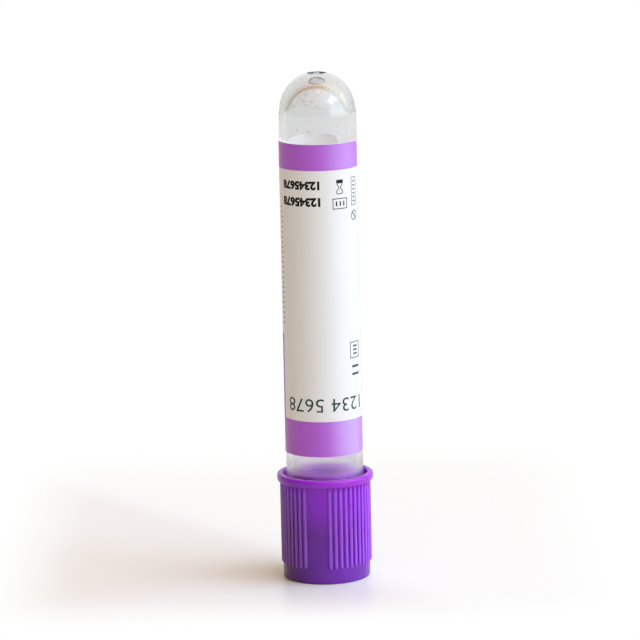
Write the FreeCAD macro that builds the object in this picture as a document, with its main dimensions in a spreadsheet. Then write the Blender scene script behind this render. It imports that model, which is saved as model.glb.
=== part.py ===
import FreeCAD, Part
import math
import os

import Sketcher
from FreeCAD import Placement, Rotation, Vector

# Blood collection tube, 13 x 75 mm, in millimetres. It stands on the end face of its cap, round bottom up.
# The origin is the centre of that end face, and +Z is the tube's axis.

DIMENSIONS = [
    # tube: clear injection-moulded PET
    ("tube_length", 75.0, "from the mouth to the pole of the round bottom"),
    ("mouth_level", 10.75, "height of the mouth, which sits on the stopper's flange"),
    ("mouth_rad", 6.50, "outside radius at the mouth: the nominal 13 mm"),
    ("shank_rad", 6.46, "outside radius under the label, where the shank has no draft"),
    ("shoulder_rad", 6.42, "outside radius at the moulding step"),
    ("dome_rad", 6.30, "outside radius of the round bottom"),
    ("step_rise", 0.25, "height of the small moulding step where the dome begins"),
    ("bore_mouth_rad", 5.38, "bore radius at the mouth"),
    ("bore_dome_rad", 5.15, "bore radius where its own dome begins"),
    ("pole_wall", 2.0, "wall thickness at the pole, without the gate recess"),
    ("lip_round", 0.30, "rounding of the mouth's outer edge"),
    ("lip_chamfer", 0.20, "lead-in chamfer of the bore"),
    ("gate_rad", 1.55, "radius of the recess round the moulding gate"),
    ("gate_depth", 0.50, "depth of that recess below the pole"),
    ("stub_rad", 0.45, "radius of the gate's cut-off stub"),
    ("stub_rise", 0.20, "height of the stub above the recess"),
    # label: thin film, wrapped round the shank with a strip left open
    ("label_bottom", 21.70, "height of the label's edge nearer the cap"),
    ("label_top", 74.45, "height of the label's edge nearer the dome"),
    ("label_thick", 0.10, "thickness of the film with its adhesive"),
    ("window_width", 6.80, "width across the strip that the label leaves open"),
    ("window_turn", 19.0, "angle of that strip's middle, from +X towards +Y, in degrees"),
    ("label_corner", 1.20, "corner radius of the label"),
    # safety cap: moulded plastic with a ribbed skirt
    ("cap_height", 17.90, "from the end face to the top of the bead"),
    ("cap_rad", 7.33, "outside radius between the ribs"),
    ("cap_edge_round", 0.35, "rounding of the end face's outer edge"),
    ("bead_rad", 8.11, "outside radius of the bead at the open rim"),
    ("bead_height", 1.40, "height of the bead"),
    ("bead_top_round", 0.30, "rounding of the bead's upper edge"),
    ("bead_under_round", 0.50, "rounding of the bead's lower edge"),
    ("rim_bore_rad", 7.15, "bore radius at the open rim"),
    ("rim_lead", 1.30, "height of the lead-in from the rim to the skirt's bore"),
    ("skirt_bore_rad", 6.80, "bore radius of the skirt round the tube's mouth"),
    ("shelf_top", 6.80, "upper face of the inner shelf"),
    ("shelf_bottom", 5.40, "lower face of the inner shelf"),
    ("shelf_bore_rad", 4.20, "radius of the hole in the shelf"),
    ("head_bore_rad", 5.55, "radius of the chamber round the stopper's head"),
    ("port_rad", 4.60, "radius of the needle port"),
    ("port_depth", 2.70, "depth of the needle port"),
    ("port_chamfer", 0.70, "countersink of the needle port"),
    # ribs on the skirt
    ("rib_rad", 0.30, "radius of each half-round rib"),
    ("rib_axis_rad", 7.40, "distance of a rib's own axis from the cap's axis"),
    ("rib_bottom", 2.60, "height of the ribs' rounded lower ends"),
    ("rib_pitch", 7.2, "angle between neighbouring ribs, in degrees"),
    ("ribs_in_group", 13, "ribs in each group"),
    ("rib_groups", 3, "groups round the skirt, with a plain panel between each two"),
    ("first_rib_turn", -84.9, "angle of the first rib, from +X towards +Y, in degrees"),
    # stopper: moulded rubber
    ("stopper_gap", 0.05, "running clearance between the stopper and the cap"),
    ("plug_rad", 5.30, "radius of the plug in the tube's bore"),
    ("plug_end", 18.20, "height of the plug's inner end"),
    ("plug_round", 0.50, "rounding of the plug's end"),
    ("cup_rad", 2.90, "radius of the cup in the plug's end"),
    ("cup_floor_rad", 2.30, "radius of the cup at its floor"),
    ("cup_floor", 12.80, "height of the cup's floor"),
    ("flange_rad", 6.45, "radius of the flange that the tube's mouth sits on"),
    ("flange_round", 0.40, "rounding of the flange's edges"),
    ("well_rad", 3.40, "radius of the needle well in the head"),
    ("well_depth", 1.60, "depth of the needle well"),
    # additive: droplets on the wall of the bore
    ("large_droplet_rad", 0.36, "radius of a large droplet"),
    ("small_droplet_rad", 0.24, "radius of a small droplet"),
    ("droplet_proud", 0.15, "how far a droplet's centre stands off the wall, as a part of its radius"),
]

# Droplets of additive on the bore's wall: angle from -Y towards +X in degrees, height in mm, and size.
DROPLETS = [
    (-25, 81.9, "large"), (4, 82.4, "large"), (105, 80.9, "large"), (-150, 81.2, "large"),
    (-8, 83.1, "small"), (-10, 80.7, "small"), (2, 80.6, "small"), (20, 80.9, "small"),
    (38, 82.2, "small"), (-33, 80.2, "small"), (-46, 79.8, "small"), (-40, 77.0, "small"),
    (-20, 76.4, "small"), (37, 77.5, "small"), (40, 75.9, "small"), (150, 82.0, "small"),
    (175, 79.6, "small"), (-110, 79.0, "small"), (-165, 76.6, "small"), (125, 77.2, "small"),
]

doc = FreeCAD.newDocument("blood_collection_tube")


def make_sheet():
    """The driving dimensions, one row each: name, value and what it is."""
    new_sheet = doc.addObject("Spreadsheet::Sheet", "dims")
    for row, (name, value, note) in enumerate(DIMENSIONS, start=1):
        new_sheet.set(f"A{row}", name)
        new_sheet.set(f"B{row}", str(value))
        new_sheet.set(f"C{row}", note)
        new_sheet.setAlias(f"B{row}", name)
    doc.recompute()
    return new_sheet


sheet = make_sheet()


def number(expression):
    """The number that an expression on the sheet gives."""
    return float(sheet.evalExpression(expression))


def new_body(label):
    body = doc.addObject("PartDesign::Body", label)
    body.Label = label
    return body


def origin_feature(body, role):
    """The body's own origin plane or axis of the given role."""
    for feature in body.Origin.OriginFeatures:
        if feature.Role == role:
            return feature
    raise RuntimeError(f"{body.Label} has no {role}")


def pin_point(sketch, edge, end, across, up):
    """Fix one end of an edge: each coordinate is "0" or an expression on the sheet."""
    for kind, axis, expression in (("DistanceX", -2, across), ("DistanceY", -1, up)):
        if expression == "0":
            sketch.addConstraint(Sketcher.Constraint("PointOnObject", edge, end, axis))
            continue
        row = sketch.addConstraint(Sketcher.Constraint(kind, -1, 1, edge, end, number(expression)))
        sketch.setExpression(f"Constraints[{row}]", expression)


def bend(start, end, radius, side):
    """An arc from start to end whose centre is on the left (side 1) or the right (side -1)."""
    half = (end - start) * 0.5
    reach = math.sqrt(max(radius ** 2 - half.Length ** 2, 0.0))
    to_centre = Vector(-half.y, half.x, 0).normalize() * side
    middle = start + half + to_centre * (reach - radius)
    return Part.Arc(start, middle, end)


def end_at(sketch, edge, place):
    """The end of an edge, 1 or 2, that lies at a place: an arc may run either way."""
    return min((1, 2), key=lambda end: (sketch.getPoint(edge, end) - place).Length)


def draw_outline(sketch, plane, corners):
    """A closed outline on one of the sketch's own body's origin planes.

    A corner is (across, up), or (across, up, radius, side) where the edge that leaves it is an arc.
    """
    sketch.AttachmentSupport = [(plane, "")]
    sketch.MapMode = "FlatFace"
    places = [Vector(number(corner[0]), number(corner[1]), 0) for corner in corners]
    first = sketch.GeometryCount
    for index, corner in enumerate(corners):
        start = places[index]
        end = places[(index + 1) % len(places)]
        if len(corner) == 2:
            sketch.addGeometry(Part.LineSegment(start, end), False)
        else:
            sketch.addGeometry(bend(start, end, number(corner[2]), corner[3]), False)
    for index, corner in enumerate(corners):
        edge = first + index
        before = first + (index - 1) % len(corners)
        end = end_at(sketch, edge, places[index])
        joined = end_at(sketch, before, places[index])
        sketch.addConstraint(Sketcher.Constraint("Coincident", edge, end, before, joined))
        pin_point(sketch, edge, end, corner[0], corner[1])
        if len(corner) > 2:
            row = sketch.addConstraint(Sketcher.Constraint("Radius", edge, number(corner[2])))
            sketch.setExpression(f"Constraints[{row}]", corner[2])


def new_sketch(body, name, role, corners):
    sketch = body.newObject("Sketcher::SketchObject", name)
    draw_outline(sketch, origin_feature(body, role), corners)
    return sketch


def revolve(body, name, sketch):
    """A full turn of a sketch about its own upright axis."""
    feature = body.newObject("PartDesign::Revolution", name)
    feature.Profile = sketch
    feature.ReferenceAxis = (sketch, ["V_Axis"])
    feature.Angle = 360
    body.Tip = feature
    doc.recompute()
    return feature


def round_rings(body, name, base, rings, size):
    """Round circular edges of a turned feature, each given as (radius, height)."""
    names = []
    for index, edge in enumerate(base.Shape.Edges, start=1):
        if edge.Degenerated or not isinstance(edge.Curve, Part.Circle):
            continue
        centre = edge.Curve.Center
        for radius, height in rings:
            same_radius = abs(edge.Curve.Radius - number(radius)) < 1e-6
            if same_radius and abs(centre.z - number(height)) < 1e-6:
                names.append(f"Edge{index}")
    if len(names) != len(rings):
        raise RuntimeError(f"{name}: found {len(names)} of {len(rings)} edges")
    feature = body.newObject("PartDesign::Fillet", name)
    feature.Base = (base, names)
    feature.Radius = number(size)
    feature.setExpression("Radius", size)
    body.Tip = feature
    doc.recompute()
    return feature


# The pole is the point that the dome would reach without its gate recess.
POLE = "(dims.mouth_level + dims.tube_length)"
DOME_LEVEL = f"({POLE} - dims.dome_rad)"
BORE_POLE = f"({POLE} - dims.pole_wall)"
BORE_DOME_LEVEL = f"({BORE_POLE} - dims.bore_dome_rad)"
GATE_FLOOR = f"({POLE} - dims.gate_depth)"


def make_tube():
    """The tube: drafted inside and out, apart from the stretch under the label, with a domed bottom."""
    body = new_body("tube")
    gate_rim = f"{DOME_LEVEL} + sqrt(dims.dome_rad^2 - dims.gate_rad^2)"
    stub_top = f"{GATE_FLOOR} + dims.stub_rise"
    section = [
        ("dims.mouth_rad - dims.lip_round", "dims.mouth_level", "dims.lip_round", 1),
        ("dims.mouth_rad", "dims.mouth_level + dims.lip_round"),
        ("dims.shank_rad", "dims.label_bottom"),
        ("dims.shank_rad", "dims.label_top"),
        ("dims.shoulder_rad", f"{DOME_LEVEL} - dims.step_rise"),
        ("dims.dome_rad", DOME_LEVEL, "dims.dome_rad", 1),
        ("dims.gate_rad", gate_rim),
        ("dims.gate_rad", GATE_FLOOR),
        ("dims.stub_rad", GATE_FLOOR),
        ("dims.stub_rad", stub_top),
        ("0", stub_top),
        ("0", BORE_POLE, "dims.bore_dome_rad", -1),
        ("dims.bore_dome_rad", BORE_DOME_LEVEL),
        ("dims.bore_mouth_rad", "dims.mouth_level + dims.lip_chamfer"),
        ("dims.bore_mouth_rad + dims.lip_chamfer", "dims.mouth_level"),
    ]
    revolve(body, "tube_turned", new_sketch(body, "tube_section", "XZ_Plane", section))
    return body


def make_label():
    """The label: a thin sleeve on the shank, with a strip cut out between its two rounded ends."""
    body = new_body("label")
    section = [
        ("dims.shank_rad", "dims.label_bottom"),
        ("dims.shank_rad + dims.label_thick", "dims.label_bottom"),
        ("dims.shank_rad + dims.label_thick", "dims.label_top"),
        ("dims.shank_rad", "dims.label_top"),
    ]
    sleeve = revolve(body, "label_sleeve", new_sketch(body, "label_section", "XZ_Plane", section))
    half = "dims.window_width / 2"
    wide = f"({half} + dims.label_corner)"
    below = "dims.label_bottom - dims.label_corner"
    above = "dims.label_top + dims.label_corner"
    strip = [
        (half, "dims.label_bottom + dims.label_corner"),
        (half, "dims.label_top - dims.label_corner", "dims.label_corner", -1),
        (wide, "dims.label_top"),
        (wide, above),
        (f"-{wide}", above),
        (f"-{wide}", "dims.label_top", "dims.label_corner", -1),
        (f"-{half}", "dims.label_top - dims.label_corner"),
        (f"-{half}", "dims.label_bottom + dims.label_corner", "dims.label_corner", -1),
        (f"-{wide}", "dims.label_bottom"),
        (f"-{wide}", below),
        (wide, below),
        (wide, "dims.label_bottom", "dims.label_corner", -1),
    ]
    cut = body.newObject("PartDesign::Pocket", "label_window")
    cut.Profile = new_sketch(body, "label_window_outline", "YZ_Plane", strip)
    cut.Type = "Length"
    cut.Length = number("2 * dims.mouth_rad")
    cut.setExpression("Length", "2 * dims.mouth_rad")
    cut.Reversed = True
    body.Tip = cut
    doc.recompute()
    if cut.Shape.Volume > 0.95 * sleeve.Shape.Volume:
        raise RuntimeError("the label's open strip was not cut")
    body.setExpression("Placement.Rotation.Angle", "dims.window_turn")
    body.Placement = Placement(Vector(0, 0, 0), Rotation(Vector(0, 0, 1), number("dims.window_turn")))
    return body


def make_safety_cap():
    """The cap: a turned section with a shelf for the stopper, and half-round ribs in three groups."""
    body = new_body("safety_cap")
    bead_under = "dims.cap_height - dims.bead_height"
    section = [
        ("dims.port_rad + dims.port_chamfer", "0"),
        ("dims.cap_rad", "0"),
        ("dims.cap_rad", bead_under),
        ("dims.bead_rad", bead_under),
        ("dims.bead_rad", "dims.cap_height"),
        ("dims.rim_bore_rad", "dims.cap_height"),
        ("dims.skirt_bore_rad", "dims.cap_height - dims.rim_lead"),
        ("dims.skirt_bore_rad", "dims.shelf_top"),
        ("dims.shelf_bore_rad", "dims.shelf_top"),
        ("dims.shelf_bore_rad", "dims.shelf_bottom"),
        ("dims.head_bore_rad", "dims.shelf_bottom"),
        ("dims.head_bore_rad", "dims.port_depth"),
        ("dims.port_rad", "dims.port_depth"),
        ("dims.port_rad", "dims.port_chamfer"),
    ]
    shell = revolve(body, "cap_turned", new_sketch(body, "cap_section", "XZ_Plane", section))
    shell = round_rings(body, "cap_edge", shell, [("dims.cap_rad", "0")], "dims.cap_edge_round")
    shell = round_rings(body, "bead_under", shell, [("dims.bead_rad", bead_under)], "dims.bead_under_round")
    crest = [("dims.bead_rad", "dims.cap_height")]
    shell = round_rings(body, "bead_top", shell, crest, "dims.bead_top_round")

    rib_top = f"{bead_under} + dims.bead_under_round"
    rib_section = [
        ("0", "dims.rib_bottom", "dims.rib_rad", 1),
        ("dims.rib_rad", "dims.rib_bottom + dims.rib_rad"),
        ("dims.rib_rad", rib_top),
        ("0", rib_top),
    ]
    sketch = new_sketch(body, "rib_section", "XZ_Plane", rib_section)
    sketch.AttachmentOffset = Placement(Vector(number("dims.rib_axis_rad"), 0, 0), Rotation())
    sketch.setExpression("AttachmentOffset.Base.x", "dims.rib_axis_rad")
    rib = revolve(body, "rib", sketch)

    along = doc.addObject("PartDesign::PolarPattern", "ribs_in_group")
    along.Axis = (origin_feature(body, "Z_Axis"), [""])
    along.setExpression("Occurrences", "dims.ribs_in_group")
    along.setExpression("Angle", "dims.rib_pitch * (dims.ribs_in_group - 1)")
    around = doc.addObject("PartDesign::PolarPattern", "rib_groups")
    around.Axis = (origin_feature(body, "Z_Axis"), [""])
    around.Angle = 360
    around.setExpression("Occurrences", "dims.rib_groups")
    ribs = body.newObject("PartDesign::MultiTransform", "ribs")
    ribs.Originals = [rib]
    ribs.Transformations = [along, around]
    body.Tip = ribs
    doc.recompute()
    one_rib = rib.Shape.Volume - shell.Shape.Volume
    all_ribs = ribs.Shape.Volume - shell.Shape.Volume
    wanted = number("dims.ribs_in_group * dims.rib_groups")
    if abs(all_ribs - wanted * one_rib) > 0.01 * all_ribs:
        raise RuntimeError("the ribs were not all made")
    body.Placement = Placement(Vector(0, 0, 0), Rotation(Vector(0, 0, 1), number("dims.first_rib_turn")))
    body.setExpression("Placement.Rotation.Angle", "dims.first_rib_turn")
    return body


def make_stopper():
    """The stopper: plug, flange, waist and head in one turned section, clear of the cap all round."""
    body = new_body("stopper")
    head_low = "dims.port_depth + dims.stopper_gap"
    head_high = "dims.shelf_bottom - dims.stopper_gap"
    head_rad = "dims.head_bore_rad - dims.stopper_gap"
    waist_rad = "dims.shelf_bore_rad - dims.stopper_gap"
    flange_low = "dims.shelf_top + dims.stopper_gap"
    well_top = f"{head_low} + dims.well_depth"
    well_bend = "(dims.well_rad^2 + dims.well_depth^2) / (2 * dims.well_depth)"
    section = [
        ("0", well_top, well_bend, -1),
        ("dims.well_rad", head_low),
        (head_rad, head_low),
        (head_rad, head_high),
        (waist_rad, head_high),
        (waist_rad, flange_low),
        ("dims.flange_rad", flange_low),
        ("dims.flange_rad", "dims.mouth_level"),
        ("dims.plug_rad", "dims.mouth_level"),
        ("dims.plug_rad", "dims.plug_end"),
        ("dims.cup_rad", "dims.plug_end"),
        ("dims.cup_floor_rad", "dims.cup_floor"),
        ("0", "dims.cup_floor"),
    ]
    core = revolve(body, "stopper_turned", new_sketch(body, "stopper_section", "XZ_Plane", section))
    flange = [("dims.flange_rad", flange_low), ("dims.flange_rad", "dims.mouth_level")]
    core = round_rings(body, "flange_edges", core, flange, "dims.flange_round")
    plug = [("dims.plug_rad", "dims.plug_end"), ("dims.cup_rad", "dims.plug_end")]
    round_rings(body, "plug_edges", core, plug, "dims.plug_round")
    return body


def off_bore_wall(turn, level, stand):
    """A place a little way in front of the bore's surface, turned to face out of the tube."""
    start = number("dims.mouth_level + dims.lip_chamfer")
    dome = number(BORE_DOME_LEVEL)
    mouth = number("dims.bore_mouth_rad")
    top = number("dims.bore_dome_rad")
    rise = max(level - dome, 0.0)
    wall = math.sqrt(top ** 2 - rise ** 2)
    if level < dome:
        wall = mouth + (top - mouth) * (level - start) / (dome - start)
    around = Rotation(Vector(0, 0, 1), turn)
    outward = around.multVec(Vector(0, -wall, rise).normalize())
    surface = around.multVec(Vector(0, -wall, level))
    return Placement(surface - outward * stand, Rotation(Vector(0, 0, 1), outward))


def make_additive():
    """The additive: each droplet is what lies inside the bore of a small ball set on the bore's wall."""
    dome = doc.addObject("Part::Sphere", "bore_dome")
    dome.setExpression("Radius", "dims.bore_dome_rad")
    dome.setExpression("Placement.Base.z", BORE_DOME_LEVEL)
    shank = doc.addObject("Part::Cone", "bore_shank")
    shank.setExpression("Radius1", "dims.bore_mouth_rad")
    shank.setExpression("Radius2", "dims.bore_dome_rad")
    shank.setExpression("Height", f"{BORE_DOME_LEVEL} - dims.mouth_level - dims.lip_chamfer")
    shank.setExpression("Placement.Base.z", "dims.mouth_level + dims.lip_chamfer")
    space = doc.addObject("Part::Fuse", "bore_space")
    space.Base = shank
    space.Tool = dome
    droplets = []
    for index, (turn, level, size) in enumerate(DROPLETS, start=1):
        ball = doc.addObject("Part::Sphere", f"ball_{index:02d}")
        ball.setExpression("Radius", f"dims.{size}_droplet_rad")
        stand = number(f"dims.droplet_proud * dims.{size}_droplet_rad")
        ball.Placement = off_bore_wall(turn, level, stand)
        droplet = doc.addObject("Part::Common", f"droplet_{index:02d}")
        droplet.Base = ball
        droplet.Tool = space
        droplets.append(droplet)
    additive = doc.addObject("Part::Compound", "additive")
    additive.Links = droplets
    additive.Label = "additive"
    doc.recompute()
    if len(additive.Shape.Solids) != len(DROPLETS):
        raise RuntimeError("two droplets have run together or one has gone")
    return additive


NODES = [make_safety_cap(), make_stopper(), make_tube(), make_label(), make_additive()]
doc.recompute()

for thing in doc.Objects:
    if "Invalid" in thing.State or "Error" in thing.State:
        raise RuntimeError(f"{thing.Label} did not compute: {thing.State}")
for node in NODES:
    if node.Shape.isNull() or not node.Shape.isValid():
        raise RuntimeError(f"{node.Label} has no valid shape")

os.makedirs("parts", exist_ok=True)
for node in NODES:
    node.Shape.exportStep(f"parts/{node.Label}.step")
    box = node.Shape.BoundBox
    size = f"{box.XLength:.2f} x {box.YLength:.2f}, z {box.ZMin:.2f} to {box.ZMax:.2f}"
    print(f"{node.Label}: {node.Shape.Volume:.1f} mm3, {size}")
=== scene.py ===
"""A 13 x 75 mm blood collection tube on its safety cap. Sizes are in millimetres until the mesh."""

import math

import bmesh
import bpy
import numpy as np
from mathutils import Matrix, Vector


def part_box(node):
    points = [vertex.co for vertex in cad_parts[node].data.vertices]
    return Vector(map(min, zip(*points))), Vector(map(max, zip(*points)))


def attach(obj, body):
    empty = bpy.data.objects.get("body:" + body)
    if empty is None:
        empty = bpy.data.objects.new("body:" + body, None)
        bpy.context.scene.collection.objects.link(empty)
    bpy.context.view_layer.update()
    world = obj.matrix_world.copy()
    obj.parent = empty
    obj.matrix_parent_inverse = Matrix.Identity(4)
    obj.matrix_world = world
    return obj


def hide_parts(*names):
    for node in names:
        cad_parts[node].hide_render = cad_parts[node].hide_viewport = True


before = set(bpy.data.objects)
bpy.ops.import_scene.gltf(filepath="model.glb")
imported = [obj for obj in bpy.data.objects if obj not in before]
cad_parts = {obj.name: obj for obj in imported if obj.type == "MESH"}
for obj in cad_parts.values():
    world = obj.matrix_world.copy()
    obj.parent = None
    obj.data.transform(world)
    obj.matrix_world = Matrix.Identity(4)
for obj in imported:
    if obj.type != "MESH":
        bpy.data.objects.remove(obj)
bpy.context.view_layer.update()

# ---------------------------------------------------------------------------------------------------
# Safety cap: one injection moulding in coloured polyethylene. Half-round grip ribs stand in groups on
# its skirt, with a plain panel between each two, and a bead stiffens its open rim. It holds the stopper
# by an inner shelf, and a needle goes in through the port in its end face.

MM = 0.001
cap_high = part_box("safety_cap")[1]
CAP_HEIGHT = cap_high.z / MM
BEAD_RAD = cap_high.x / MM
BEAD_HEIGHT = 1.40
BEAD_UNDER = CAP_HEIGHT - BEAD_HEIGHT
CAP_RAD = 7.33
RIM_BORE = 7.15
SKIRT_BORE = 6.80
RIM_LEAD = 1.30
SHELF = (5.40, 6.80)
SHELF_BORE = 4.20
HEAD_BORE = 5.55
PORT_RAD = 4.60
PORT_DEPTH = 2.70
PORT_CHAMFER = 0.70
RIB_GROUPS = 3
RIBS_IN_GROUP = 13
RIB_PITCH = math.radians(7.2)
FIRST_RIB = math.radians(5.1)
RIB_HEIGHT = 0.31
RIB_HALF = 0.33
RIB_END = 2.60
RIB_SHARE = 0.36


def arc(centre, radius, start, end, count):
    """Points (radius, height) on a circle: centre plus radius times the angle's cosine and sine.

    The angles are in degrees, from the radius direction towards the height.
    """
    angle = np.radians(np.linspace(start, end, count))
    return np.stack([centre[0] + radius * np.cos(angle), centre[1] + radius * np.sin(angle)], axis=1)


def rounded(corners, steps=5):
    """A polyline whose corners are rounded off.

    Each corner is (radius, height, rounding). The arc starts where the rounding's circle touches the
    edge before the corner, and ends where it touches the edge after it.
    """
    places = [np.array(corner[:2], float) for corner in corners]
    line = []
    for index, corner in enumerate(corners):
        here = places[index]
        at_end = index in (0, len(corners) - 1)
        if len(corner) < 3 or at_end:
            line.append(here[None])
            continue
        back = places[index - 1] - here
        on = places[index + 1] - here
        back /= np.linalg.norm(back)
        on /= np.linalg.norm(on)
        half = math.acos(np.clip(back @ on, -1, 1)) / 2
        reach = corner[2] / math.tan(half)
        centre = here + (back + on) / np.linalg.norm(back + on) * corner[2] / math.sin(half)
        first = here + back * reach - centre
        last = here + on * reach - centre
        share = np.linspace(0, 1, steps)[:, None]
        turn = math.acos(np.clip(first @ last / corner[2] ** 2, -1, 1))
        along_arc = np.sin((1 - share) * turn) * first + np.sin(share * turn) * last
        line.append(centre + along_arc / math.sin(turn))
    return np.concatenate(line)


def round_the_axis(radius, height, angle):
    """Points at an angle from -Y towards +X: (radius sin, -radius cos, height), as one array."""
    radius, height, angle = np.broadcast_arrays(radius, height, angle)
    return np.stack([radius * np.sin(angle), -radius * np.cos(angle), height], axis=-1)


def grid_mesh(name, grids, ring=True, sharp=35.0):
    """One smooth mesh over grids of points in millimetres, [row, column, xyz].

    Each cell of a grid is a quad. With ring, a grid's last column joins its first. Points that fall
    together are merged, which closes poles and the seams between grids.
    """
    points, quads, start = [], [], 0
    for grid in grids:
        rows, columns = grid.shape[:2]
        index = np.arange(rows * columns).reshape(rows, columns) + start
        if ring:
            index = np.concatenate([index, index[:, :1]], axis=1)
        cells = [index[:-1, :-1], index[:-1, 1:], index[1:, 1:], index[1:, :-1]]
        quads.append(np.stack(cells, axis=-1).reshape(-1, 4))
        points.append(grid.reshape(-1, 3))
        start += rows * columns
    mesh = bpy.data.meshes.new(name)
    mesh.from_pydata((np.concatenate(points) * MM).tolist(), [], np.concatenate(quads).tolist())
    tidy = bmesh.new()
    tidy.from_mesh(mesh)
    bmesh.ops.remove_doubles(tidy, verts=tidy.verts, dist=2e-7)
    bmesh.ops.recalc_face_normals(tidy, faces=tidy.faces)
    tidy.to_mesh(mesh)
    tidy.free()
    mesh.polygons.foreach_set("use_smooth", np.ones(len(mesh.polygons), bool))
    mesh.set_sharp_from_angle(angle=math.radians(sharp))
    return mesh


def piece(name, mesh, material):
    """An object for a finished mesh, with its material."""
    thing = bpy.data.objects.new(name, mesh)
    mesh.materials.append(material)
    bpy.context.scene.collection.objects.link(thing)
    return thing


class Socket:
    """A node's output, on which Python's operators add Math nodes."""

    def __init__(self, tree, out):
        self.tree = tree
        self.out = out

    def node(self, kind, inputs=(), **settings):
        """Add a node: its settings first, then the values or links of its sockets."""
        made = self.tree.nodes.new("ShaderNode" + kind)
        for name, value in settings.items():
            setattr(made, name, value)
        for key, value in dict(inputs).items():
            if isinstance(value, Socket):
                self.tree.links.new(value.out, made.inputs[key])
            else:
                made.inputs[key].default_value = value
        return made

    def wrap(self, made, output=0):
        """A Socket for one output of a node in the same tree."""
        return Socket(self.tree, made.outputs[output])

    def math(self, operation, *values):
        return self.wrap(self.node("Math", dict(enumerate(values)), operation=operation))

    def vector(self, operation, other=None, output=0):
        """A Vector Math node on this and, where it takes two, another vector."""
        inputs = {0: self} if other is None else {0: self, 1: other}
        return self.wrap(self.node("VectorMath", inputs, operation=operation), output)

    def part(self, axis):
        """One of the three numbers of a vector: X, Y or Z."""
        return self.wrap(self.node("SeparateXYZ", {"Vector": self}), axis)

    def from_axis(self):
        """Distance of a place from the Z axis."""
        return self.vector("MULTIPLY", (1.0, 1.0, 0.0)).vector("LENGTH", output="Value")

    def __add__(self, other):
        return self.math("ADD", self, other)

    def __radd__(self, other):
        return self.math("ADD", other, self)

    def __sub__(self, other):
        return self.math("SUBTRACT", self, other)

    def __rsub__(self, other):
        return self.math("SUBTRACT", other, self)

    def __mul__(self, other):
        return self.math("MULTIPLY", self, other)

    def __rmul__(self, other):
        return self.math("MULTIPLY", other, self)

    def __truediv__(self, other):
        return self.math("DIVIDE", self, other)

    def __pow__(self, other):
        return self.math("POWER", self, other)

    def __abs__(self):
        return self.math("ABSOLUTE", self)

    def at_least(self, other):
        return self.math("MAXIMUM", self, other)

    def step(self, start, end):
        """0 below start, 1 above end, and a smooth rise between them."""
        made = self.node("MapRange", {"Value": self, "From Min": start, "From Max": end},
                         interpolation_type="SMOOTHSTEP")
        return self.wrap(made)

    def mix(self, low, high):
        """Colour low where this is 0, high where it is 1."""
        made = self.node("Mix", data_type="RGBA")
        self.tree.links.new(self.out, made.inputs[0])
        for socket, value in ((made.inputs[6], low), (made.inputs[7], high)):
            if isinstance(value, Socket):
                self.tree.links.new(value.out, socket)
            else:
                socket.default_value = (*value, 1.0)
        return Socket(self.tree, made.outputs[2])


def new_material(name, colour, roughness, **constants):
    """A material with a Principled shader, the shader, and a Socket of Object coordinates."""
    material = bpy.data.materials.new(name)
    material.use_nodes = True
    tree = material.node_tree
    shader = tree.nodes["Principled BSDF"]
    shader.inputs["Base Color"].default_value = (*colour, 1.0)
    shader.inputs["Roughness"].default_value = roughness
    for key, value in constants.items():
        shader.inputs[key.replace("_", " ")].default_value = value
    where = Socket(tree, tree.nodes.new("ShaderNodeTexCoord").outputs["Object"])
    return material, shader, where


def noise(where, size, detail=2.0):
    """Noise from 0 to 1 whose features are about a given size in metres."""
    made = where.node("TexNoise", {"Vector": where, "Scale": 1.0 / size, "Detail": detail})
    return where.wrap(made)


def bump(shader, where, height, depth, strength=1.0):
    """Raise the shader's surface by a height from 0 to 1, times a depth in metres."""
    made = where.node("Bump", {"Height": height, "Distance": depth, "Strength": strength})
    where.tree.links.new(made.outputs[0], shader.inputs["Normal"])


def feed(shader, name, value):
    """Link a value to one of the shader's inputs."""
    value.tree.links.new(value.out, shader.inputs[name])


def rib_angles():
    """Angles round the cap: close together over each rib, wider over the plain panels.

    A rib takes up its share of the pitch to each side of its middle.
    """
    over_rib = np.concatenate([
        np.linspace(-0.5, -RIB_SHARE, 3)[:-1], np.linspace(-RIB_SHARE, RIB_SHARE, 13),
        np.linspace(RIB_SHARE, 0.5, 3)[1:-1],
    ])
    group = (np.arange(RIBS_IN_GROUP)[:, None] + over_rib).ravel() * RIB_PITCH
    third = 2 * math.pi / RIB_GROUPS
    panel = np.linspace(group[-1], third + group[0], 16)[1:-1]
    one = np.concatenate([group, panel]) + FIRST_RIB
    return (one + third * np.arange(RIB_GROUPS)[:, None]).ravel()


def ribbed(profile):
    """The cap's wall with its ribs, as a grid.

    A rib is a half-round rod: over its half width it rises by its height times the square root of one
    less the squares of its two offsets, across the rib and, in its rounded lower end, along it.
    """
    angle = rib_angles()[None, :]
    radius = profile[:, :1]
    height = profile[:, 1:]
    third = 2 * math.pi / RIB_GROUPS
    local = np.mod(angle - FIRST_RIB + RIB_PITCH / 2, third) / RIB_PITCH
    in_group = local < RIBS_IN_GROUP
    across = (np.mod(local, 1.0) - 0.5) * RIB_PITCH * CAP_RAD / RIB_HALF
    along = np.clip((RIB_END + RIB_HALF - height) / RIB_HALF, 0, None)
    rise = RIB_HEIGHT * np.sqrt(np.clip(1 - across ** 2 - along ** 2, 0, 1)) * in_group
    on_wall = (radius > CAP_RAD - 0.01) & (height >= RIB_END) & (height <= BEAD_UNDER + 0.5)
    radius = np.where(on_wall, np.maximum(radius, CAP_RAD + rise), radius)
    return round_the_axis(radius, height, angle)


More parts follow.
